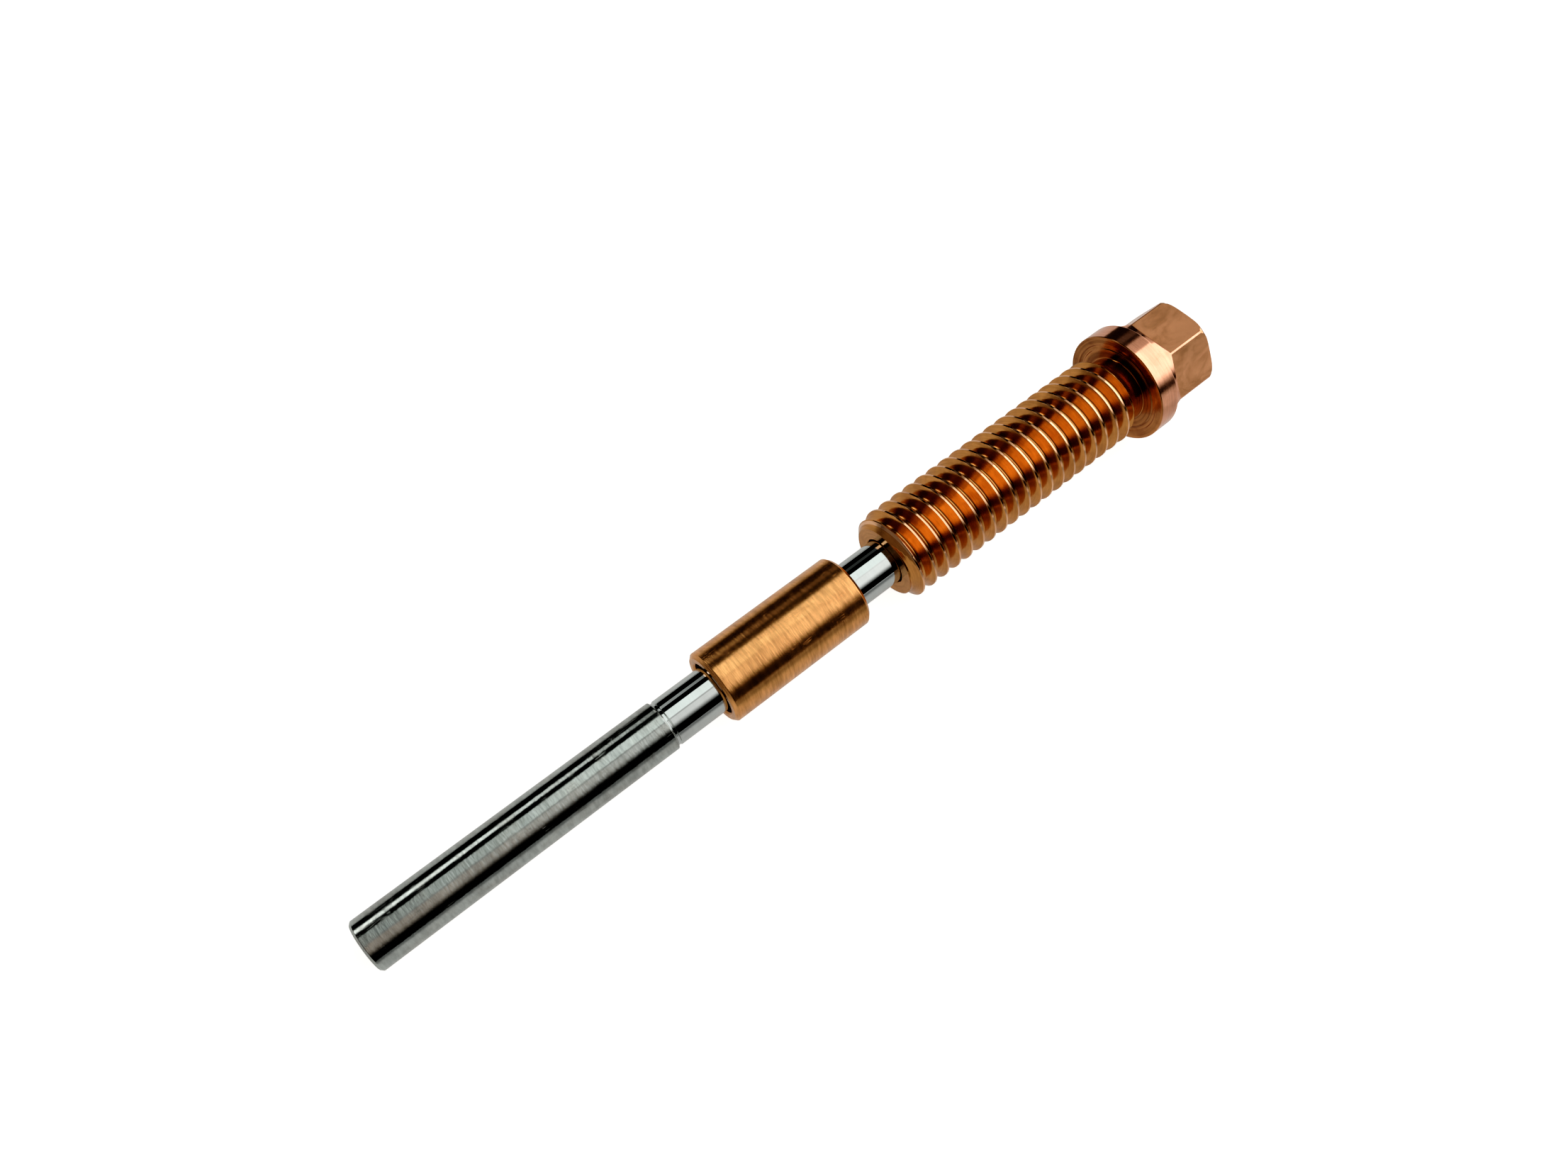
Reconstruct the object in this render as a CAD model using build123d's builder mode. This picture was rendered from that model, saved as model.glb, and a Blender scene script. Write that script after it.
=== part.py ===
from build123d import *
import math
import os

# Hollow flanged hex screw, M6 x 1, with a steel spindle that turns inside it between
# two rows of balls, and a copper sleeve that slides on the spindle.
# Millimetres. The axis of every piece is X. The origin is the centre of the flange
# seat; +X points out through the hexagon head and +Z is up, square to a flat.

# Screw body
THREAD_D = 5.92
THREAD_PITCH = 1.0
THREAD_DEPTH = 0.6134 * THREAD_PITCH
THREAD_CREST = THREAD_PITCH / 8
ROOT_ARC_RISE = 0.06
SEGMENTS_PER_TURN = 2
FIRST_CREST_X = -20.26
FIRST_CREST_ANGLE = 24.6
TIP_X = -20.70
TIP_FACE_D = 4.76
TIP_CHAMFER_L = 0.48
RUNOUT_X = -1.60
NECK_X = -0.80
NECK_D = 4.60
FLANGE_D = 7.76
FLANGE_T = 1.53
FLANGE_EDGE = 0.06
SEAT_GROOVE_IN_D = 5.90
SEAT_GROOVE_OUT_D = 6.60
SEAT_GROOVE_DEPTH = 0.06
HEX_AF = 5.95
HEX_CORNER_D = 6.80
HEX_START_X = 2.50
HEX_END_X = 5.80
HEX_END_ROUND = 0.45
MOUTH_D = 3.14
MOUTH_LIP = 0.80
TIP_MOUTH_CHAMFER = 0.05
MOUTH_CHAMFER = 0.10
BORE_D = 3.80
HEAD_BORE_D = 4.80
HEAD_BORE_X = 0.30

# Spindle
ROD_D = 3.00
SHANK_D = 3.20
SHANK_END_X = -57.20
SHANK_CHAMFER = 0.15
SHOULDER_X = -37.95
SHOULDER_L = 0.35
RELIEF_D = 2.88
RELIEF_L = 0.20
RELIEF_RISE = 0.05
SPIGOT_D = 1.80
SPIGOT_END_X = 3.15
SPIGOT_CHAMFER = 0.10

# Guide bushes and the spacer between them
RUNNING_CLEARANCE = 0.03
BUSH_L = 4.0
BUSH_CHAMFER = 0.10
SPACER_OUT_D = 3.76
SPACER_BORE_D = 3.40

# Thrust bearing in the head
RACE_T = 0.40
RACE_BORE_D = 3.30
BALL_D = 0.60
BALL_CIRCLE_D = 4.10
BALL_COUNT = 20
BALL_GAP = 0.02
COLLAR_T = 1.00
COLLAR_D = 4.60
LOCK_RING_D = 2.80
LOCK_RING_T = 0.40
SHIM_T = 0.15
SHIM_D = 4.70
PLUG_T = 1.80
PLUG_SOCKET_AF = 1.50
PLUG_SOCKET_DEPTH = 0.90
EDGE = 0.05

# Sliding sleeve
SLEEVE_D = 4.80
SLEEVE_X = -34.11
SLEEVE_L = 10.27
SLEEVE_CHAMFER = 0.21
SLEEVE_MOUTH_D = 3.50
SLEEVE_MOUTH_DEPTH = 0.90

# Stations along the thrust bearing, from the shoulder in the head outwards
RACE_1_X = HEAD_BORE_X
BALLS_1_X = RACE_1_X + RACE_T + BALL_GAP + BALL_D / 2
COLLAR_X = BALLS_1_X + BALL_D / 2 + BALL_GAP
BALLS_2_X = COLLAR_X + COLLAR_T + BALL_GAP + BALL_D / 2
RACE_2_X = BALLS_2_X + BALL_D / 2 + BALL_GAP
SHIM_X = RACE_2_X + RACE_T
PLUG_X = SHIM_X + SHIM_T

os.makedirs("parts", exist_ok=True)


def turned(points):
    """Revolve a closed (x, radius) outline about the X axis."""
    with BuildPart() as piece:
        with BuildSketch(Plane.XZ):
            with BuildLine():
                Polyline(*points, close=True)
            make_face()
        revolve(axis=Axis.X)
    return piece


def ring(x, length, outer_d, inner_d, outer_chamfer, inner_chamfer):
    """A bush or washer from x to x + length with both rims chamfered."""
    end = x + length
    outer = outer_d / 2
    inner = inner_d / 2
    return turned([
        (x, inner + inner_chamfer),
        (x, outer - outer_chamfer),
        (x + outer_chamfer, outer),
        (end - outer_chamfer, outer),
        (end, outer - outer_chamfer),
        (end, inner + inner_chamfer),
        (end - inner_chamfer, inner),
        (x + inner_chamfer, inner),
    ])


def groove_segment():
    """One segment of the 60 degree groove with a rounded root, starting straight up at x = 0."""
    minor = THREAD_D / 2 - THREAD_DEPTH
    outside = THREAD_D / 2 + 0.10
    slope = math.tan(math.radians(30))
    half_outside = (THREAD_PITCH - THREAD_CREST) / 2 + 0.10 * slope
    half_root = half_outside - (outside - minor - ROOT_ARC_RISE) * slope
    with BuildPart() as segment:
        with BuildLine() as path:
            Helix(THREAD_PITCH, THREAD_PITCH / SEGMENTS_PER_TURN, minor, direction=(1, 0, 0))
        with BuildSketch(Plane.XZ):
            with BuildLine():
                ThreePointArc(
                    (-half_root, minor + ROOT_ARC_RISE),
                    (0, minor),
                    (half_root, minor + ROOT_ARC_RISE),
                )
                Polyline(
                    (half_root, minor + ROOT_ARC_RISE),
                    (half_outside, outside),
                    (-half_outside, outside),
                    (-half_root, minor + ROOT_ARC_RISE),
                )
            make_face()
        sweep(path=path.wires()[0], is_frenet=True)
    return segment


def thread_places():
    """Where the segments of the groove go, from before the tip until inside the neck."""
    start_x = FIRST_CREST_X - THREAD_PITCH * (1.5 + FIRST_CREST_ANGLE / 360)
    step_x = THREAD_PITCH / SEGMENTS_PER_TURN
    count = math.ceil((NECK_X + 0.30 - start_x) / step_x)
    return [
        Location((start_x + i * step_x, 0, 0), (i * 360 / SEGMENTS_PER_TURN, 0, 0))
        for i in range(count)
    ]


def screw_blank():
    """Turned outside of the screw: tip, thread stock, neck, flange and round head."""
    major = THREAD_D / 2
    tip = TIP_FACE_D / 2
    flange = FLANGE_D / 2
    corner = HEX_CORNER_D / 2
    groove_in = SEAT_GROOVE_IN_D / 2
    groove_out = SEAT_GROOVE_OUT_D / 2
    turns = [math.radians(angle) for angle in (0, 30, 60, 90)]
    rounded_end = [
        (
            HEX_END_X - HEX_END_ROUND * (1 - math.sin(turn)),
            corner - HEX_END_ROUND * (1 - math.cos(turn)),
        )
        for turn in turns
    ]
    return turned([
        (TIP_X, 0),
        (TIP_X, tip),
        (TIP_X + TIP_CHAMFER_L, major),
        (RUNOUT_X, major),
        (NECK_X, NECK_D / 2),
        (0, NECK_D / 2),
        (0, groove_in),
        (SEAT_GROOVE_DEPTH, groove_in + SEAT_GROOVE_DEPTH),
        (SEAT_GROOVE_DEPTH, groove_out - SEAT_GROOVE_DEPTH),
        (0, groove_out),
        (0, flange - FLANGE_EDGE),
        (FLANGE_EDGE, flange),
        (FLANGE_T - FLANGE_EDGE, flange),
        (FLANGE_T, flange - FLANGE_EDGE),
        (FLANGE_T, corner),
        *rounded_end,
        (HEX_END_X, 0),
    ])


def screw_bore():
    """Stepped hole: mouth at the tip, long bore, and the wider pocket in the head."""
    mouth = MOUTH_D / 2
    lip_x = TIP_X + MOUTH_LIP
    return turned([
        (TIP_X - 1, 0),
        (TIP_X - 1, mouth + TIP_MOUTH_CHAMFER),
        (TIP_X, mouth + TIP_MOUTH_CHAMFER),
        (TIP_X + TIP_MOUTH_CHAMFER, mouth),
        (lip_x, mouth),
        (lip_x, BORE_D / 2),
        (HEAD_BORE_X, BORE_D / 2),
        (HEAD_BORE_X, HEAD_BORE_D / 2),
        (HEX_END_X - EDGE, HEAD_BORE_D / 2),
        (HEX_END_X, HEAD_BORE_D / 2 + EDGE),
        (HEX_END_X + 1, HEAD_BORE_D / 2 + EDGE),
        (HEX_END_X + 1, 0),
    ])


def make_screw():
    """Blank, less the bore, the six flats with 45 degree run-outs, and the thread."""
    blank = screw_blank()
    bore = screw_bore()
    segment = groove_segment()
    flat = HEX_AF / 2
    over = HEX_CORNER_D / 2 + 0.5
    with BuildPart() as screw:
        add(blank.part)
        add(bore.part, mode=Mode.SUBTRACT)
        for angle in range(0, 360, 60):
            with BuildSketch(Plane.XZ.rotated((angle, 0, 0))):
                with BuildLine():
                    Polyline(
                        (HEX_START_X, flat),
                        (HEX_END_X + 1, flat),
                        (HEX_END_X + 1, over),
                        (HEX_START_X - (over - flat), over),
                        close=True,
                    )
                make_face()
            extrude(amount=FLANGE_D, both=True, mode=Mode.SUBTRACT)
        with Locations(*thread_places()):
            add(segment.part, mode=Mode.SUBTRACT)
    return screw


def make_spindle():
    """Shank, conical shoulder with a shallow relief, polished rod and the spigot that takes the collar."""
    shank = SHANK_D / 2
    relief = RELIEF_D / 2
    relief_start = SHOULDER_X + SHOULDER_L
    rod = ROD_D / 2
    spigot = SPIGOT_D / 2
    return turned([
        (SHANK_END_X, 0),
        (SHANK_END_X, shank - SHANK_CHAMFER),
        (SHANK_END_X + SHANK_CHAMFER, shank),
        (SHOULDER_X, shank),
        (relief_start, relief),
        (relief_start + RELIEF_L - RELIEF_RISE, relief),
        (relief_start + RELIEF_L, rod),
        (COLLAR_X, rod),
        (COLLAR_X, spigot),
        (SPIGOT_END_X - SPIGOT_CHAMFER, spigot),
        (SPIGOT_END_X, spigot - SPIGOT_CHAMFER),
        (SPIGOT_END_X, 0),
    ])


def make_sleeve():
    """Plain sleeve with a running bore and a wider mouth at each end."""
    end = SLEEVE_X + SLEEVE_L
    outer = SLEEVE_D / 2
    mouth = SLEEVE_MOUTH_D / 2
    bore = ROD_D / 2 + RUNNING_CLEARANCE
    return turned([
        (SLEEVE_X, mouth + MOUTH_CHAMFER),
        (SLEEVE_X, outer - SLEEVE_CHAMFER),
        (SLEEVE_X + SLEEVE_CHAMFER, outer),
        (end - SLEEVE_CHAMFER, outer),
        (end, outer - SLEEVE_CHAMFER),
        (end, mouth + MOUTH_CHAMFER),
        (end - MOUTH_CHAMFER, mouth),
        (end - SLEEVE_MOUTH_DEPTH, mouth),
        (end - SLEEVE_MOUTH_DEPTH, bore),
        (SLEEVE_X + SLEEVE_MOUTH_DEPTH, bore),
        (SLEEVE_X + SLEEVE_MOUTH_DEPTH, mouth),
        (SLEEVE_X + MOUTH_CHAMFER, mouth),
    ])


def make_balls(x):
    """One full row of balls round the X axis."""
    with BuildPart() as balls:
        with Locations(Plane.YZ.offset(x)):
            with PolarLocations(BALL_CIRCLE_D / 2, BALL_COUNT):
                Sphere(BALL_D / 2)
    return balls


def make_plug():
    """Disc that closes the head and holds the bearing, with a hexagon socket outside."""
    end = PLUG_X + PLUG_T
    blank = turned([
        (PLUG_X, 0),
        (PLUG_X, HEAD_BORE_D / 2 - EDGE),
        (PLUG_X + EDGE, HEAD_BORE_D / 2),
        (end - EDGE, HEAD_BORE_D / 2),
        (end, HEAD_BORE_D / 2 - EDGE),
        (end, 0),
    ])
    with BuildPart() as plug:
        add(blank.part)
        with BuildSketch(Plane.YZ.offset(end)):
            RegularPolygon(PLUG_SOCKET_AF / 2, 6, major_radius=False)
        extrude(amount=-PLUG_SOCKET_DEPTH, mode=Mode.SUBTRACT)
    return plug


BUSH_BORE_D = ROD_D + 2 * RUNNING_CLEARANCE
FRONT_BUSH_X = TIP_X + MOUTH_LIP
REAR_BUSH_X = HEAD_BORE_X - BUSH_L
SPACER_X = FRONT_BUSH_X + BUSH_L

PIECES = {
    "screw": make_screw(),
    "front_bush": ring(FRONT_BUSH_X, BUSH_L, BORE_D, BUSH_BORE_D, BUSH_CHAMFER, BUSH_CHAMFER),
    "spacer_tube": ring(SPACER_X, REAR_BUSH_X - SPACER_X, SPACER_OUT_D, SPACER_BORE_D, EDGE, EDGE),
    "rear_bush": ring(REAR_BUSH_X, BUSH_L, BORE_D, BUSH_BORE_D, BUSH_CHAMFER, BUSH_CHAMFER),
    "front_race": ring(RACE_1_X, RACE_T, HEAD_BORE_D, RACE_BORE_D, EDGE, EDGE),
    "front_balls": make_balls(BALLS_1_X),
    "thrust_collar": ring(COLLAR_X, COLLAR_T, COLLAR_D, SPIGOT_D, EDGE, EDGE),
    "lock_ring": ring(COLLAR_X + COLLAR_T, LOCK_RING_T, LOCK_RING_D, SPIGOT_D, EDGE, EDGE),
    "rear_balls": make_balls(BALLS_2_X),
    "rear_race": ring(RACE_2_X, RACE_T, HEAD_BORE_D, RACE_BORE_D, EDGE, EDGE),
    "shim": ring(SHIM_X, SHIM_T, SHIM_D, RACE_BORE_D, 0.02, 0.02),
    "end_plug": make_plug(),
    "spindle": make_spindle(),
    "sleeve": make_sleeve(),
}

for name, piece in PIECES.items():
    piece.part.label = name
    export_step(piece.part, f"parts/{name}.step")
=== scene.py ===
import math

import bpy
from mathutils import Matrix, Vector


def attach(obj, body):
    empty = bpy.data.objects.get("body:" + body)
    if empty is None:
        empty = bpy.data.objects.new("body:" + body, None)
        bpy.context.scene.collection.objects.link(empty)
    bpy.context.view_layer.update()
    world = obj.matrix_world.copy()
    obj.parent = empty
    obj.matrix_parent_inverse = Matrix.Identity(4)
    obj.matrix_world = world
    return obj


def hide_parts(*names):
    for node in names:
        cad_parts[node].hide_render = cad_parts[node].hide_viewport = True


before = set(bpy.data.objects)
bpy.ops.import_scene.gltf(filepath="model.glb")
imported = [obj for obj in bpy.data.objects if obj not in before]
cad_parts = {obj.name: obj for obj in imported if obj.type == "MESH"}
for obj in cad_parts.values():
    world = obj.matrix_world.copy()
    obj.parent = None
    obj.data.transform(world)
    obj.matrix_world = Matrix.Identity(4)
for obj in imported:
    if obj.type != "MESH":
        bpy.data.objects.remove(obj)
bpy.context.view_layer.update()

# Sizes in millimetres, as in the CAD source. Angles run round the X axis from +Z towards -Y, in degrees.
MM = 0.001
COLUMNS = 176

THREAD_R = 2.96
PITCH = 1.0
CREST = 0.125
DEPTH = 0.6134
FIRST_CREST_X = -20.26
FIRST_CREST_ANGLE = 24.6
TIP_X = -20.70
TIP_R = 2.38
TIP_CHAMFER_L = 0.48
RUNOUT_X = -1.60
NECK_X = -0.80
NECK_R = 2.30
FLANGE_R = 3.88
FLANGE_T = 1.53
SEAT_IN_R = 2.95
SEAT_OUT_R = 3.30
SEAT_DEPTH = 0.06
HEX_A = 2.975
CORNER_R = 3.40
HEX_START_X = 2.50
HEX_END_X = 5.80
HEX_END_ROUND = 0.45
MOUTH_R = 1.57
TIP_MOUTH_CHAMFER = 0.05
MOUTH_LIP = 0.80
MOUTH_CHAMFER = 0.10
BORE_R = 1.90
POCKET_R = 2.40
POCKET_X = 0.30
EDGE = 0.05

ROD_R = 1.50
SHANK_R = 1.60
SHANK_END_X = -57.20
SHOULDER_X = -37.95
SHOULDER_L = 0.35
SHOULDER_EDGE = 0.09
RELIEF_R = 1.44
RELIEF_L = 0.20
COLLAR_X = 1.34
SPIGOT_R = 0.90
SPIGOT_END_X = 3.15

SLEEVE_X = -34.11
SLEEVE_L = 10.27
SLEEVE_R = 2.40
SLEEVE_CHAMFER = 0.21
SLEEVE_MOUTH_R = 1.75
SLEEVE_MOUTH_DEPTH = 0.90
SLEEVE_BORE_R = 1.53

PLUG_X = 3.53
PLUG_END_X = 5.33
SOCKET_A = 0.75
SOCKET_DEPTH = 0.90

UP_ANGLE = 5.0
REST_FLANGE_X = 0.06
REST_SHANK_X = -57.05


def around(angle):
    """Unit radial direction at an angle round the X axis, in degrees."""
    a = math.radians(angle)
    return Vector((0.0, -math.sin(a), math.cos(a)))


# Slots of the screw's materials. The thread slot (thread flanks, roots and neck) and the seat slot (the
# flange's front face) hold darker copies of the copper as painted shade; the crest slot holds a lighter copy
# as a painted highlight.
THREAD_PAINTED_SHADE_SLOT, RIM_SLOT, SEAT_PAINTED_SHADE_SLOT, FLAT_SLOT, CREST_PAINTED_HIGHLIGHT_SLOT = range(5)


class Skin:
    """Collects faces in millimetres with a normal for every corner, then makes one mesh in metres."""

    def __init__(self):
        self.points = []
        self.index = {}
        self.faces = []
        self.normals = []
        self.slots = []

    def point(self, p):
        key = (round(p.x * 1e4), round(p.y * 1e4), round(p.z * 1e4))
        if key not in self.index:
            self.index[key] = len(self.points)
            self.points.append((p.x * MM, p.y * MM, p.z * MM))
        return self.index[key]

    def face(self, corners, slot=0):
        """corners are (position, normal) pairs in order; corners that coincide are dropped."""
        ids, kept = [], []
        for p, n in corners:
            i = self.point(p)
            if i not in ids:
                ids.append(i)
                kept.append((p, n))
        if len(ids) < 3:
            return
        flat = (kept[1][0] - kept[0][0]).cross(kept[2][0] - kept[0][0])
        if len(kept) == 4:
            flat = (kept[2][0] - kept[0][0]).cross(kept[3][0] - kept[1][0])
        lean = sum((n for _, n in kept), Vector())
        if flat.dot(lean) < 0:
            ids.reverse()
            kept.reverse()
        self.faces.append(ids)
        self.normals.extend(n.normalized() for _, n in kept)
        self.slots.append(slot)

    def grid(self, rows, slot=0):
        """Faces between successive rows of (position, normal) pairs."""
        for low, high in zip(rows, rows[1:]):
            for j in range(len(low) - 1):
                self.face([low[j], low[j + 1], high[j + 1], high[j]], slot)

    def build(self, name, materials):
        mesh = bpy.data.meshes.new(name)
        mesh.from_pydata(self.points, [], self.faces)
        mesh.polygons.foreach_set("use_smooth", [True] * len(self.faces))
        mesh.polygons.foreach_set("material_index", self.slots)
        mesh.normals_split_custom_set([tuple(n) for n in self.normals])
        for m in materials:
            mesh.materials.append(m)
        mesh.update()
        piece = bpy.data.objects.new(name, mesh)
        bpy.context.scene.collection.objects.link(piece)
        return piece


def rounded(outline, steps=5, longest=None):
    """Stations (x, r, nx, nr) along corners (x, r) or (x, r, fillet).

    The outside is on the left of the way from one corner to the next.
    """
    corners = [(c[0], c[1], c[2] if len(c) > 2 else 0.0) for c in outline]
    ways = []
    for a, b in zip(corners, corners[1:]):
        length = math.hypot(b[0] - a[0], b[1] - a[1])
        ways.append(((b[0] - a[0]) / length, (b[1] - a[1]) / length))
    stations = [(corners[0][0], corners[0][1], -ways[0][1], ways[0][0])]
    for k in range(1, len(corners) - 1):
        x, r, fillet = corners[k]
        (ux, ur), (vx, vr) = ways[k - 1], ways[k]
        turn = math.atan2(ux * vr - ur * vx, ux * vx + ur * vr)
        if fillet == 0.0:
            stations.append((x, r, -ur, ux))
            stations.append((x, r, -vr, vx))
            continue
        reach = fillet * math.tan(abs(turn) / 2)
        side = -1.0 if turn < 0 else 1.0
        cx = x - ux * reach - side * ur * fillet
        cr = r - ur * reach + side * ux * fillet
        start = math.atan2(ux, -ur)
        for i in range(steps + 1):
            a = start + turn * i / steps
            nx, nr = math.cos(a), math.sin(a)
            stations.append((cx - side * nx * fillet, cr - side * nr * fillet, nx, nr))
    stations.append((corners[-1][0], corners[-1][1], -ways[-1][1], ways[-1][0]))
    if longest is None:
        return stations
    finer = [stations[0]]
    for s, t in zip(stations, stations[1:]):
        parts = max(1, math.ceil(math.hypot(t[0] - s[0], t[1] - s[1]) / longest))
        for i in range(1, parts + 1):
            w = i / parts
            finer.append(tuple(p + (q - p) * w for p, q in zip(s, t)))
    return finer


def lathe(skin, stations, slot_of=None, columns=COLUMNS):
    """Turns stations round the X axis. slot_of gives the material slot at an x."""
    spokes = [around(360.0 * j / columns) for j in range(columns)]
    spokes.append(spokes[0])
    rows = []
    for x, r, nx, nr in stations:
        rows.append([(Vector((x, 0, 0)) + e * r, Vector((nx, 0, 0)) + e * nr) for e in spokes])
    for k in range(len(rows) - 1):
        middle = (stations[k][0] + stations[k + 1][0]) / 2
        skin.grid(rows[k:k + 2], slot_of(middle) if slot_of else 0)


def thread(skin):
    """The external thread, cut off by the tip chamfer and by the cone that runs it out at the neck."""
    half = PITCH / 2
    crest = half - CREST / 2
    root = crest - DEPTH * math.tan(math.radians(30))
    profile = rounded([
        (-half, THREAD_R),
        (-crest, THREAD_R, 0.012),
        (-root, THREAD_R - DEPTH, 0.135),
        (root, THREAD_R - DEPTH, 0.135),
        (crest, THREAD_R, 0.012),
        (half, THREAD_R),
    ], steps=4, longest=0.11)
    first = FIRST_CREST_X - PITCH * (1.5 + FIRST_CREST_ANGLE / 360)
    turns = math.ceil((NECK_X - first) / PITCH) + 1
    fall = (THREAD_R - NECK_R) / (NECK_X - RUNOUT_X)
    rise = (THREAD_R - TIP_R) / TIP_CHAMFER_L
    runout = Vector((fall, 1.0)).normalized()
    rows = [[] for _ in range(turns * len(profile))]
    for j in range(COLUMNS + 1):
        angle = 360.0 * j / COLUMNS
        e = around(angle)
        along = around(angle + 90)
        for n in range(turns):
            for i, (v, r, nx, nr) in enumerate(profile):
                x = first + PITCH * (n + angle / 360) + v
                twist = -PITCH / (2 * math.pi * r) * nx
                x = min(max(x, TIP_X), NECK_X)
                tip_r = TIP_R + rise * (x - TIP_X)
                neck_r = THREAD_R - fall * (x - RUNOUT_X)
                if x in (TIP_X, NECK_X) or r > min(tip_r, neck_r):
                    twist = 0.0
                    if tip_r < neck_r:
                        r, nx, nr = tip_r, -rise, 1.0
                    else:
                        r, nx, nr = neck_r, runout[0], runout[1]
                at = Vector((x, 0, 0)) + e * r
                rows[n * len(profile) + i].append((at, Vector((nx, 0, 0)) + e * nr + along * twist))
    for k in range(len(rows) - 1):
        i, j = k % len(profile), (k + 1) % len(profile)
        # Crest rows take the lighter copper, a painted highlight; the other rows take the darker thread
        # copper, painted shade.
        on_crest = min(profile[i][1], profile[j][1]) > THREAD_R - 0.02
        skin.grid(rows[k:k + 2], CREST_PAINTED_HIGHLIGHT_SLOT if on_crest else THREAD_PAINTED_SHADE_SLOT)


def hexagon(skin):
    """Collar, run-outs, flats, narrow corners and rounded end of the head, one sixth at a time."""
    reach = math.degrees(math.acos(HEX_A / CORNER_R))
    ahead = Vector((1, 0, 0))
    round_x = HEX_END_X - HEX_END_ROUND
    round_r = CORNER_R - HEX_END_ROUND
    end_steps = 6

    def end_lane(e, r):
        """Positions and normals from where radius r meets the rounded end to the end face."""
        start = math.acos(min(1.0, (r - round_r) / HEX_END_ROUND))
        lane = []
        for i in range(end_steps + 1):
            a = start + (math.pi / 2 - start) * i / end_steps
            n = ahead * math.sin(a) + e * math.cos(a)
            lane.append((ahead * round_x + e * round_r + n * HEX_END_ROUND, n))
        return lane

    for k in range(6):
        middle = 60.0 * k
        out = around(middle)
        flat_steps = 14
        deltas = [reach * (2.0 * i / flat_steps - 1) for i in range(flat_steps + 1)]
        lanes = {name: [] for name in ("collar0", "collar1", "ramp0", "ramp1", "flat0", "flat1")}
        ends = []
        for d in deltas:
            e = around(middle + d)
            c = math.cos(math.radians(d))
            ramp_x = HEX_START_X + HEX_A - CORNER_R * c
            ends.append(end_lane(e, HEX_A / c))
            lanes["collar0"].append((ahead * FLANGE_T + e * CORNER_R, e))
            lanes["collar1"].append((ahead * ramp_x + e * CORNER_R, e))
            lanes["ramp0"].append((ahead * ramp_x + e * CORNER_R, ahead + out))
            lanes["ramp1"].append((ahead * HEX_START_X + e * (HEX_A / c), ahead + out))
            lanes["flat0"].append((ahead * HEX_START_X + e * (HEX_A / c), out))
            lanes["flat1"].append((ends[-1][0][0], out))
        for name, slot in (("collar", RIM_SLOT), ("ramp", RIM_SLOT), ("flat", FLAT_SLOT)):
            skin.grid([lanes[name + "0"], lanes[name + "1"]], slot)
        skin.grid([[lane[i] for lane in ends] for i in range(end_steps + 1)], FLAT_SLOT)
        corner = []
        for i in range(5):
            e = around(middle + reach + (60.0 - 2 * reach) * i / 4)
            lean = around(middle + 60.0 * i / 4)
            corner.append((e, (e * 2 + lean).normalized()))
        skin.grid([[(ahead * x + e * CORNER_R, m if x > FLANGE_T else e) for e, m in corner]
                   for x in (FLANGE_T, HEX_START_X, round_x)], RIM_SLOT)
        ends = [end_lane(e, CORNER_R) for e, _ in corner]
        skin.grid([[lane[i] for lane in ends] for i in range(end_steps + 1)], FLAT_SLOT)


def make_screw(materials):
    skin = Skin()
    thread(skin)
    # The neck takes the darker thread copper and the flange's front face the darker seat copper, both painted
    # shade.
    lathe(skin, rounded([
        (NECK_X, NECK_R),
        (0, NECK_R, 0.05),
        (0, SEAT_IN_R, 0.02),
        (SEAT_DEPTH, SEAT_IN_R + SEAT_DEPTH, 0.02),
        (SEAT_DEPTH, SEAT_OUT_R - SEAT_DEPTH, 0.02),
        (0, SEAT_OUT_R, 0.02),
        (0, FLANGE_R, 0.07),
        (FLANGE_T, FLANGE_R, 0.07),
        (FLANGE_T, CORNER_R),
    ]), lambda x: THREAD_PAINTED_SHADE_SLOT if x < -0.01 else SEAT_PAINTED_SHADE_SLOT if x < SEAT_DEPTH + 0.005 else RIM_SLOT)
    hexagon(skin)
    inside = rounded([
        (HEX_END_X, CORNER_R - HEX_END_ROUND),
        (HEX_END_X, POCKET_R + EDGE, 0.02),
        (HEX_END_X - EDGE, POCKET_R, 0.02),
        (POCKET_X, POCKET_R),
        (POCKET_X, BORE_R),
        (TIP_X + MOUTH_LIP, BORE_R),
        (TIP_X + MOUTH_LIP, MOUTH_R),
        (TIP_X + TIP_MOUTH_CHAMFER, MOUTH_R, 0.02),
        (TIP_X, MOUTH_R + TIP_MOUTH_CHAMFER, 0.02),
        (TIP_X, TIP_R - 0.03),
    ])
    inside.append((TIP_X, TIP_R, -1.0, 0.8))
    lathe(skin, inside)
    return skin.build("screw_look", materials)


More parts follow.
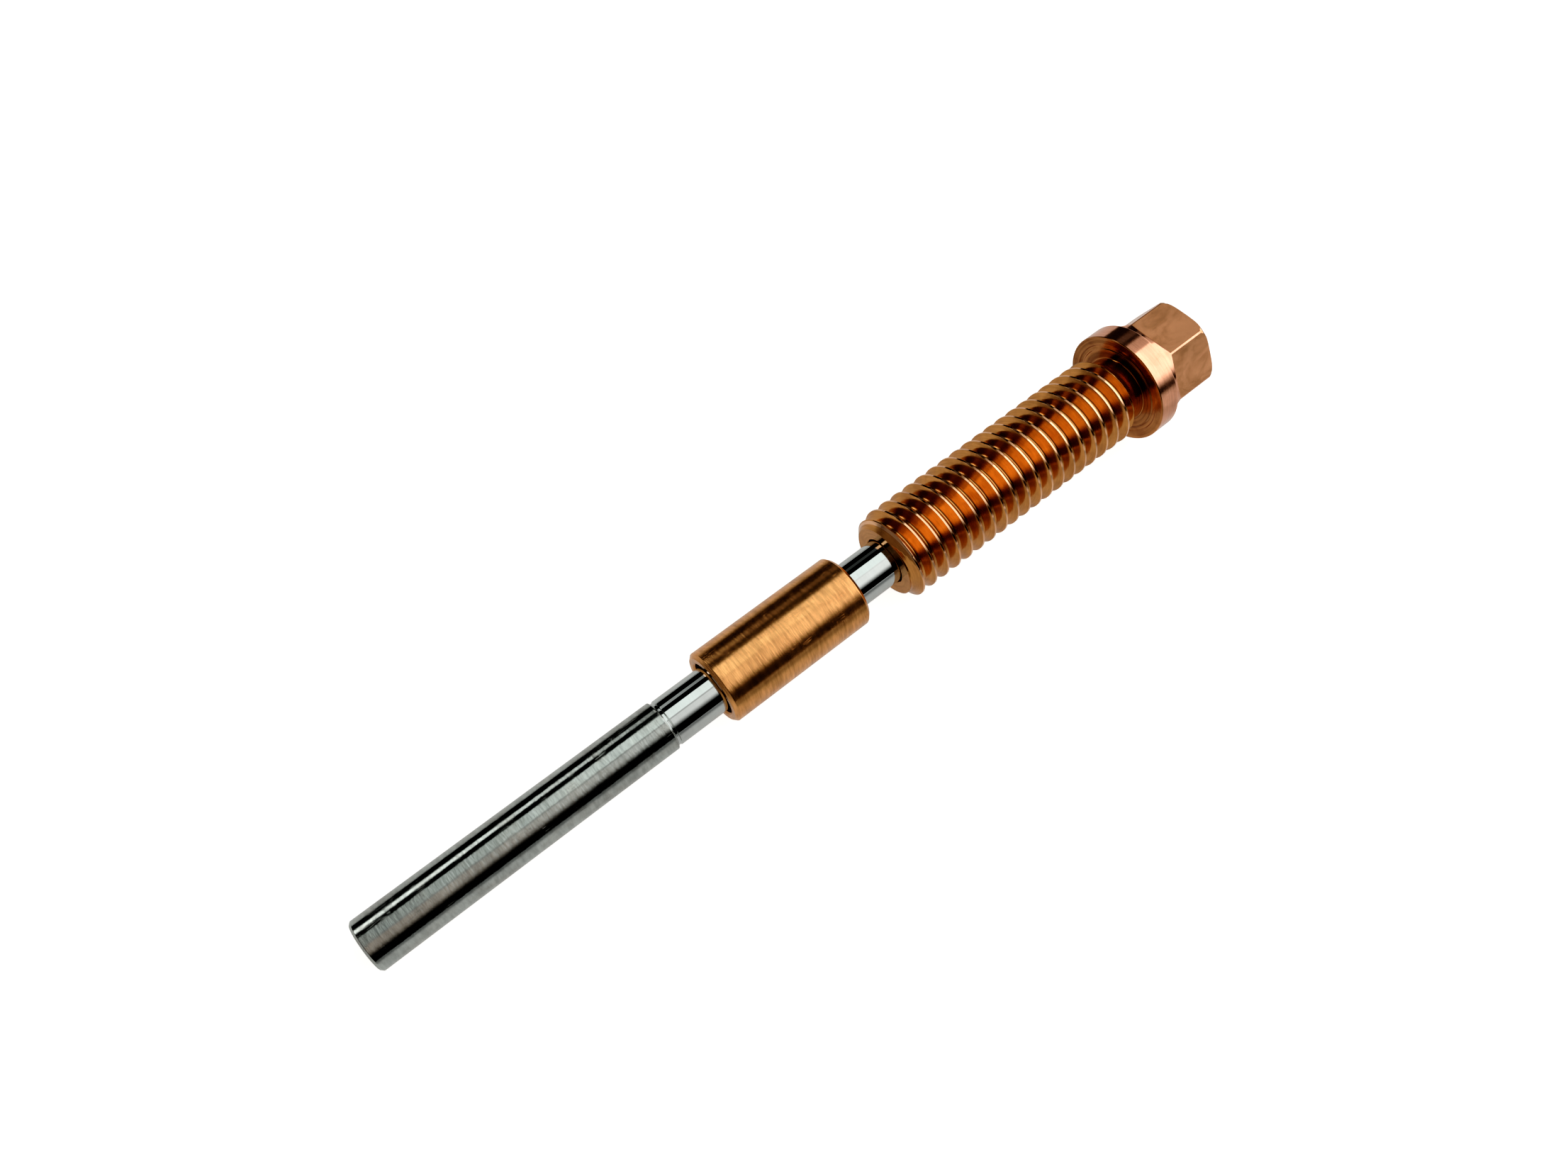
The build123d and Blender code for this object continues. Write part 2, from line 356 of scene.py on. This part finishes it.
def make_sleeve(materials):
    skin = Skin()
    end = SLEEVE_X + SLEEVE_L
    lathe(skin, rounded([
        (SLEEVE_X + SLEEVE_MOUTH_DEPTH, SLEEVE_BORE_R),
        (SLEEVE_X + SLEEVE_MOUTH_DEPTH, SLEEVE_MOUTH_R),
        (SLEEVE_X + MOUTH_CHAMFER, SLEEVE_MOUTH_R, 0.04),
        (SLEEVE_X, SLEEVE_MOUTH_R + MOUTH_CHAMFER, 0.04),
        (SLEEVE_X, SLEEVE_R - SLEEVE_CHAMFER, 0.03),
        (SLEEVE_X + SLEEVE_CHAMFER, SLEEVE_R, 0.06),
        (end - SLEEVE_CHAMFER, SLEEVE_R, 0.06),
        (end, SLEEVE_R - SLEEVE_CHAMFER, 0.03),
        (end, SLEEVE_MOUTH_R + MOUTH_CHAMFER, 0.04),
        (end - MOUTH_CHAMFER, SLEEVE_MOUTH_R, 0.04),
        (end - SLEEVE_MOUTH_DEPTH, SLEEVE_MOUTH_R),
        (end - SLEEVE_MOUTH_DEPTH, SLEEVE_BORE_R),
        (SLEEVE_X + SLEEVE_MOUTH_DEPTH, SLEEVE_BORE_R),
    ], longest=1.0))
    return skin.build("sleeve_look", materials)


def make_spindle(materials):
    skin = Skin()
    relief_x = SHOULDER_X + SHOULDER_L
    lathe(skin, rounded([
        (SHANK_END_X, 0.0001),
        (SHANK_END_X, SHANK_R - 0.15, 0.05),
        (SHANK_END_X + 0.15, SHANK_R, 0.05),
        (relief_x - SHOULDER_EDGE, SHANK_R, 0.05),
        (relief_x, RELIEF_R, 0.03),
        (relief_x + RELIEF_L - 0.05, RELIEF_R, 0.03),
        (relief_x + RELIEF_L, ROD_R, 0.03),
        (COLLAR_X, ROD_R, 0.03),
        (COLLAR_X, SPIGOT_R),
        (SPIGOT_END_X - 0.10, SPIGOT_R, 0.03),
        (SPIGOT_END_X, SPIGOT_R - 0.10, 0.03),
        (SPIGOT_END_X, 0.0001),
    ], longest=2.0), lambda x: 1 if x > relief_x else 0)
    return skin.build("spindle_look", materials)


def make_plug(materials):
    """Closed plug in the head with a small hexagon socket."""
    skin = Skin()
    lathe(skin, rounded([
        (PLUG_X, 0.0001),
        (PLUG_X, POCKET_R - 0.05, 0.02),
        (PLUG_X + 0.05, POCKET_R, 0.02),
        (PLUG_END_X - 0.05, POCKET_R, 0.02),
        (PLUG_END_X, POCKET_R - 0.05, 0.02),
        (PLUG_END_X, 1.2),
    ]), columns=96)
    ahead = Vector((1, 0, 0))
    bottom_x = PLUG_END_X - SOCKET_DEPTH
    for k in range(6):
        inward = -around(60.0 * k)
        spokes = [(around(60.0 * k + d), SOCKET_A / math.cos(math.radians(d))) for d in range(-30, 31, 4)]
        spokes[-1] = (around(60.0 * k + 30), SOCKET_A / math.cos(math.radians(30)))
        skin.grid([
            [(ahead * PLUG_END_X + e * 1.2, ahead) for e, r in spokes],
            [(ahead * PLUG_END_X + e * r, ahead) for e, r in spokes],
        ])
        skin.grid([
            [(ahead * PLUG_END_X + e * r, inward) for e, r in spokes],
            [(ahead * bottom_x + e * r, inward) for e, r in spokes],
        ])
        skin.grid([
            [(ahead * bottom_x + e * r, ahead) for e, r in spokes],
            [(ahead * bottom_x + e * 0.0001, ahead) for e, r in spokes],
        ])
    return skin.build("plug_look", materials)


# ---------------------------------------------------------------- materials


class Graph:
    """A short way to write shader nodes."""

    def __init__(self, tree):
        self.tree = tree
        tree.nodes.clear()

    def add(self, kind, inputs=None, **settings):
        node = self.tree.nodes.new(kind)
        for key, value in settings.items():
            setattr(node, key, value)
        for key, value in (inputs or {}).items():
            if isinstance(value, bpy.types.NodeSocket):
                self.tree.links.new(value, node.inputs[key])
            else:
                node.inputs[key].default_value = value
        return node

    def math(self, operation, a, b=0.0):
        return self.add("ShaderNodeMath", {0: a, 1: b}, operation=operation).outputs[0]

    def ramp(self, value, low, high, to_low=0.0, to_high=1.0, smooth=True):
        """A value mapped from low..high to to_low..to_high and held at the ends."""
        kind = "SMOOTHSTEP" if smooth else "LINEAR"
        node = self.add("ShaderNodeMapRange", {
            "Value": value, "From Min": low, "From Max": high, "To Min": to_low, "To Max": to_high,
        }, interpolation_type=kind)
        return node.outputs[0]

    def noise(self, place, scale, detail=2.0, rough=0.5, turn=(0, 0, 0), warp=0.0):
        """Noise at a scale per millimetre on each axis, after an optional turn in degrees."""
        mapping = self.add("ShaderNodeMapping", {
            "Vector": place,
            "Rotation": [math.radians(t) for t in turn],
            "Scale": [s / MM for s in scale],
        })
        return self.add("ShaderNodeTexNoise", {
            "Vector": mapping.outputs[0], "Scale": 1.0, "Detail": detail, "Roughness": rough,
            "Distortion": warp,
        }).outputs[0]

    def blend(self, factor, a, b):
        """Colour a where the factor is 0, colour b where it is 1."""
        node = self.add("ShaderNodeMix", data_type="RGBA")
        for socket, value in ((node.inputs[0], factor), (node.inputs[6], a), (node.inputs[7], b)):
            if isinstance(value, bpy.types.NodeSocket):
                self.tree.links.new(value, socket)
            else:
                socket.default_value = value
        return node.outputs[2]

    def shade(self, colour, factor):
        """Colour times a factor."""
        node = self.add("ShaderNodeVectorMath", operation="SCALE")
        self.tree.links.new(colour, node.inputs[0])
        self.tree.links.new(factor, node.inputs["Scale"])
        return node.outputs[0]


def metal(name, colour, tarnish, roughness, lines, line_depth, line_scale=(9.0, 0.5), tarnish_amount=0.5,
          rough_swing=0.06, tone_swing=0.15, scratch=0.3, body=1.0, broad_lines=0.6, on_lathe=True):
    """Turned or polished metal: lines round the X axis, patches of tarnish, uneven gloss and a few scratches.

    lines scales the turning lines and line_depth is their depth in millimetres. line_scale is how many there
    are per millimetre, across and along them. Where on_lathe is false the marks are patches, not rings.
    """
    material = bpy.data.materials.new(name)
    material.use_nodes = True
    g = Graph(material.node_tree)
    place = g.add("ShaderNodeTexCoord").outputs["Object"]
    mark_place = place
    if on_lathe:
        x, y, z = g.add("ShaderNodeSeparateXYZ", {0: place}).outputs
        radius = g.math("SQRT", g.math("ADD", g.math("MULTIPLY", y, y), g.math("MULTIPLY", z, z)))
        mark_place = g.add("ShaderNodeCombineXYZ", {0: g.math("ADD", x, radius), 1: y, 2: z}).outputs[0]
    across, along = line_scale
    fine = g.noise(mark_place, (across, along, along), detail=4.0, rough=0.6)
    broad = g.noise(mark_place, (across * 0.22, along * 0.45, along * 0.45), detail=2.0)
    patch = g.noise(place, (0.55, 0.8, 0.8), detail=5.0, rough=0.62, warp=0.6)
    spots = g.noise(place, (6.0, 6.0, 6.0), detail=2.0)
    scrape = g.noise(place, (0.4, 7.0, 5.0), detail=1.0, turn=(20, 34, 27))
    hair = g.math("ABSOLUTE", g.math("SUBTRACT", scrape, 0.5))
    hair = g.math("MULTIPLY", g.ramp(hair, 0.0, 0.010, 1.0, 0.0), g.ramp(patch, 0.52, 0.66))
    dirt = g.math("MULTIPLY", g.ramp(patch, 0.38, 0.72), tarnish_amount)
    base = g.blend(dirt, colour, tarnish)
    tone = g.math("ADD", g.ramp(broad, 0.25, 0.75, 1 - tone_swing * 0.6, 1 + tone_swing * 0.3),
                  g.ramp(fine, 0.25, 0.75, -tone_swing * lines, tone_swing * lines * 0.5))
    base = g.shade(base, tone)
    gloss = g.math("ADD", g.ramp(patch, 0.3, 0.7, roughness - rough_swing * 0.4, roughness + rough_swing),
                   g.ramp(spots, 0.55, 0.8, 0.0, rough_swing * 0.8))
    height = g.math("ADD", g.math("MULTIPLY", fine, lines), g.math("MULTIPLY", hair, -scratch))
    height = g.math("ADD", height, g.math("MULTIPLY", broad, lines * broad_lines))
    bump = g.add("ShaderNodeBump", {"Strength": 1.0, "Distance": line_depth * MM, "Height": height})
    shader = g.add("ShaderNodeBsdfPrincipled", {
        "Base Color": base, "Roughness": gloss, "Normal": bump.outputs[0], "Metallic": body,
    })
    out = g.add("ShaderNodeOutputMaterial")
    g.tree.links.new(shader.outputs[0], out.inputs[0])
    return material


COPPER = (0.84, 0.42, 0.17, 1)
COPPER_TARNISH = (0.62, 0.26, 0.10, 1)
# Thread and neck copper: a darker copy of the screw's copper, painted shade in the thread grooves and at the
# neck.
painted_shade_thread_copper = metal("painted_shade_thread_copper", (0.69, 0.33, 0.12, 1), (0.48, 0.20, 0.08, 1), 0.14, 1.0, 0.0018,
                      (8.0, 0.7), body=0.92)
# Crest copper: a paler, glossier copy of the screw's copper, a painted highlight along the thread crests.
painted_highlight_crest_copper = metal("painted_highlight_crest_copper", (0.95, 0.55, 0.33, 1), (0.78, 0.38, 0.20, 1), 0.12, 1.0, 0.0008,
                     (8.0, 0.6), tarnish_amount=0.3)
flange_copper = metal("flange_copper", (0.86, 0.425, 0.27, 1), (0.62, 0.28, 0.15, 1), 0.12, 1.0, 0.0012,
                      (7.0, 0.5), tarnish_amount=0.45, body=0.95)
# Seat copper: a darker copy of the screw's copper on the flange's front face, painted shade; its patches of
# tarnish are the metal's own.
painted_shade_seat_copper = metal("painted_shade_seat_copper", (0.62, 0.28, 0.12, 1), (0.42, 0.17, 0.07, 1), 0.16, 1.0, 0.0045,
                    (4.0, 0.12), tarnish_amount=0.7, tone_swing=0.45, body=0.95)
head_copper = metal("head_copper", (0.84, 0.42, 0.22, 1), (0.46, 0.20, 0.09, 1), 0.18, 0.15, 0.0020,
                    (1.2, 1.0), tarnish_amount=0.6, tone_swing=0.22, scratch=1.6, body=0.92, on_lathe=False)
sleeve_copper = metal("sleeve_copper", COPPER, COPPER_TARNISH, 0.19, 1.0, 0.0125, (5.5, 0.8),
                      tarnish_amount=0.35, tone_swing=0.24, body=0.95, broad_lines=0.1)
plug_copper = metal("plug_copper", COPPER, COPPER_TARNISH, 0.18, 1.0, 0.0015, (10.0, 0.5), body=0.9)
rod_steel = metal("rod_steel", (0.60, 0.625, 0.61, 1), (0.46, 0.45, 0.43, 1), 0.05, 0.3, 0.0008, (7.0, 0.6),
                  tarnish_amount=0.25, rough_swing=0.02, tone_swing=0.06, scratch=0.2)
shank_steel = metal("shank_steel", (0.48, 0.505, 0.48, 1), (0.39, 0.37, 0.33, 1), 0.11, 1.0, 0.0120,
                    (4.0, 1.0), tarnish_amount=0.5, rough_swing=0.05, tone_swing=0.17, broad_lines=0.1)
bush_bronze = metal("bush_bronze", (0.66, 0.45, 0.22, 1), (0.40, 0.27, 0.15, 1), 0.3, 1.0, 0.002)
bearing_steel = metal("bearing_steel", (0.58, 0.58, 0.57, 1), (0.45, 0.44, 0.42, 1), 0.10, 0.5, 0.001)
spacer_steel = metal("spacer_steel", (0.50, 0.50, 0.50, 1), (0.38, 0.36, 0.34, 1), 0.28, 1.0, 0.002)

INNER_FINISHES = {
    "front_bush": bush_bronze,
    "rear_bush": bush_bronze,
    "spacer_tube": spacer_steel,
    "shim": spacer_steel,
    "front_race": bearing_steel,
    "rear_race": bearing_steel,
    "front_balls": bearing_steel,
    "rear_balls": bearing_steel,
    "thrust_collar": bearing_steel,
    "lock_ring": spacer_steel,
}
for node_name, finish in INNER_FINISHES.items():
    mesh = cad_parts[node_name].data
    mesh.materials.clear()
    mesh.materials.append(finish)

PIECES = (
    (make_screw([painted_shade_thread_copper, flange_copper, painted_shade_seat_copper, head_copper, painted_highlight_crest_copper]),
     "screw_body", "screw", "copper"),
    (make_plug([plug_copper]), "screw_body", "end_plug", "copper"),
    (make_spindle([shank_steel, rod_steel]), "spindle_body", "spindle", "spindle_steel"),
    (make_sleeve([sleeve_copper]), "sleeve_body", "sleeve", "copper"),
)
for piece, body, node_name, slot_name in PIECES:
    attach(piece, body)
    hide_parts(node_name)


# ---------------------------------------------------------------- floor, light and camera


FLOOR_CENTRE = Vector((-26.0, 0, 0))
FLOOR_HALF = 900.0
# How brightly the floor glows: to the camera, in reflections close to the part, and in reflections ahead of
# the head.
FLOOR_SEEN = 0.93
FLOOR_NEAR = 0.36
FLOOR_AHEAD = 0.38
FLOOR_GLOW = (1, 0.99, 0.96, 1)
FLOOR_GREY = (0.4, 0.4, 0.4, 1)


def make_floor():
    """Pale floor under the flange rim and the free end, tilted as the part lies."""
    lean = (FLANGE_R - SHANK_R) / (REST_FLANGE_X - REST_SHANK_X)
    normal = (around(UP_ANGLE) + Vector((lean, 0, 0))).normalized()
    touch = Vector((REST_FLANGE_X, 0, 0)) - around(UP_ANGLE) * FLANGE_R
    centre = FLOOR_CENTRE - normal * (FLOOR_CENTRE - touch).dot(normal)
    side = normal.cross(Vector((1, 0, 0))).normalized()
    front = side.cross(normal).normalized()
    mesh = bpy.data.meshes.new("floor")
    corners = [centre + (front * a + side * b) * FLOOR_HALF for a, b in ((-1, -1), (1, -1), (1, 1), (-1, 1))]
    mesh.from_pydata([tuple(c * MM) for c in corners], [], [(0, 1, 2, 3)])
    floor = bpy.data.objects.new("floor", mesh)
    bpy.context.scene.collection.objects.link(floor)
    material = bpy.data.materials.new("floor_paper")
    material.use_nodes = True
    g = Graph(material.node_tree)
    seen = g.add("ShaderNodeLightPath").outputs["Is Camera Ray"]
    place = g.add("ShaderNodeTexCoord").outputs["Object"]
    x, y, _ = g.add("ShaderNodeSeparateXYZ", {0: place}).outputs
    near = g.math("MULTIPLY", g.ramp(y, -0.018, -0.006, 0.0, FLOOR_NEAR), g.ramp(y, 0.020, 0.050, 1.0, 0.0))
    ahead = g.ramp(x, 0.004, 0.012)
    dim = g.math("ADD", g.math("MULTIPLY", near, g.math("SUBTRACT", 1.0, ahead)),
                 g.math("MULTIPLY", ahead, FLOOR_AHEAD))
    strength = g.math("ADD", g.math("MULTIPLY", seen, FLOOR_SEEN),
                      g.math("MULTIPLY", g.math("SUBTRACT", 1.0, seen), dim))
    own = g.add("ShaderNodeEmission", {"Color": FLOOR_GLOW, "Strength": strength})
    matt = g.add("ShaderNodeBsdfDiffuse", {"Color": FLOOR_GREY})
    both = g.add("ShaderNodeAddShader", {0: own.outputs[0], 1: matt.outputs[0]})
    out = g.add("ShaderNodeOutputMaterial")
    g.tree.links.new(both.outputs[0], out.inputs[0])
    mesh.materials.append(material)


# Soft light sources round the part, by the direction they lie in. Each has a name, a colour, its first and
# last edge and its levels. An edge is (angle round X, half its soft width, how far it moves per unit of the
# direction's X). The levels are (X of the direction, level) pairs.
SOFTBOXES = (
    ("key", (0.97, 1.03, 1.0), (-19.5, 0.8, 0.0), (15.5, 0.8, 0.0),
     ((-0.60, 0.0), (-0.30, 0.16), (-0.12, 0.46), (0.15, 1.25), (0.30, 1.35), (0.42, 1.3), (0.50, 0.0))),
    ("gap", (1.0, 1.0, 0.98), (15.5, 0.8, 0.0), (22.0, 0.8, 0.0),
     ((-0.60, 0.0), (-0.12, 0.42), (0.15, 0.62), (0.22, 0.70), (0.30, 1.1), (0.42, 1.2), (0.50, 0.0))),
    ("card", (1.0, 1.0, 0.98), (22.0, 0.8, 0.0), (48.0, 14.0, 28.0),
     ((-0.10, 0.0), (0.12, 0.85), (0.22, 1.05), (0.30, 1.3), (0.42, 1.25), (0.50, 0.0))),
    ("card_warm", (1.0, 0.86, 0.76), (22.0, 0.8, 0.0), (57.0, 14.0, 20.0),
     ((-0.45, 0.0), (-0.30, 0.26), (-0.12, 0.56), (0.12, 0.0))),
    ("head_key", (1.0, 1.0, 1.0), (6.0, 1.5, -23.5), (20.3, 14.0, 75.7),
     ((0.42, 0.0), (0.50, 2.1), (0.80, 2.2), (0.90, 0.0))),
    ("head_skirt", (1.0, 0.98, 0.95), (-31.0, 2.0, 0.0), (-8.5, 1.5, 0.0),
     ((0.42, 0.0), (0.50, 0.60), (0.80, 0.60), (0.90, 0.0))),
    ("horizon", (1.0, 1.0, 0.98), (90.0, 3.0, 0.0), (120.0, 2.0, 0.0),
     ((0.42, 0.0), (0.52, 0.5), (0.80, 0.5), (0.90, 0.0))),
    ("strip", (0.98, 1.02, 1.0), (-56.5, 0.8, 0.0), (-41.5, 0.8, 0.0),
     ((-0.55, 0.0), (-0.35, 2.1), (-0.12, 2.1), (0.10, 0.85), (0.17, 0.45), (0.22, 0.22), (0.32, 0.08),
      (0.9, 0.12))),
    ("tail_wall", (1.0, 0.96, 0.92), (-181.0, 0.5, 0.0), (181.0, 0.5, 0.0),
     ((-1.0, 0.2), (-0.85, 0.2), (-0.7, 0.0))),
    ("end_wall", (0.98, 1.02, 1.02), (-181.0, 0.5, 0.0), (181.0, 0.5, 0.0),
     ((0.84, 0.0), (0.92, 2.4), (1.0, 2.4))),
)
DARK_ROOM = (0.004, 0.004, 0.004)
PAPER_WHITE = (1, 1, 1, 1)


def make_world():
    """Softboxes in a dark room, which the camera sees as white paper."""
    world = bpy.data.worlds.new("studio")
    bpy.context.scene.world = world
    world.use_nodes = True
    g = Graph(world.node_tree)
    way = g.add("ShaderNodeTexCoord").outputs["Generated"]
    x, y, z = g.add("ShaderNodeSeparateXYZ", {0: way}).outputs
    angle = g.math("MULTIPLY", g.math("ARCTAN2", g.math("MULTIPLY", y, -1.0), z), 180 / math.pi)
    total = DARK_ROOM
    for _, colour, begin, end, levels in SOFTBOXES:
        top = max(level for _, level in levels)
        share = g.add("ShaderNodeValToRGB", {0: g.ramp(x, -1.0, 1.0, smooth=False)})
        marks = share.color_ramp.elements
        while len(marks) < len(levels):
            marks.new(0.5)
        for mark, (at, level) in zip(marks, levels):
            mark.position = (at + 1) / 2
            mark.color = (level / top, level / top, level / top, 1)
        edges = []
        for middle, soft, slant in (begin, end):
            moved = g.math("SUBTRACT", angle, g.math("MULTIPLY", x, slant))
            edges.append(g.ramp(moved, middle - soft, middle + soft))
        inside = g.math("MULTIPLY", edges[0], g.math("SUBTRACT", 1.0, edges[1]))
        level = g.math("MULTIPLY", g.math("MULTIPLY", inside, share.outputs[0]), top)
        tint = g.add("ShaderNodeCombineXYZ", {0: colour[0], 1: colour[1], 2: colour[2]})
        light = g.shade(tint.outputs[0], level)
        total = g.add("ShaderNodeVectorMath", {0: total, 1: light}, operation="ADD").outputs[0]
    seen = g.add("ShaderNodeLightPath").outputs["Is Camera Ray"]
    shown = g.blend(seen, total, PAPER_WHITE)
    back = g.add("ShaderNodeBackground", {"Color": shown, "Strength": 1.0})
    out = g.add("ShaderNodeOutputWorld")
    g.tree.links.new(back.outputs[0], out.inputs[0])


CAMERA_PLACE = (-0.04837, -0.02865, 0.06257)
CAMERA_TURN = (31.213, 2.745, -39.438)
CAMERA_LENS = 27.57


def make_camera():
    data = bpy.data.cameras.new("camera")
    data.sensor_fit = "HORIZONTAL"
    data.sensor_width = 36.0
    data.lens = CAMERA_LENS
    data.clip_start = 0.002
    data.clip_end = 10.0
    camera = bpy.data.objects.new("camera", data)
    bpy.context.scene.collection.objects.link(camera)
    camera.location = CAMERA_PLACE
    camera.rotation_euler = [math.radians(a) for a in CAMERA_TURN]
    bpy.context.scene.camera = camera


# The picture's contrast, in linear light: shadows are pulled down and the rest is left alone.
TONE_CURVE = ((0.02, 0.003), (0.06, 0.028), (0.12, 0.088), (0.25, 0.225), (0.5, 0.5))


def set_view():
    view = bpy.context.scene.view_settings
    view.view_transform = "Standard"
    view.look = "None"
    view.use_curve_mapping = True
    combined = view.curve_mapping.curves[3]
    for level, shown in TONE_CURVE:
        combined.points.new(level, shown)
    view.curve_mapping.update()


make_floor()
make_world()
make_camera()
set_view()
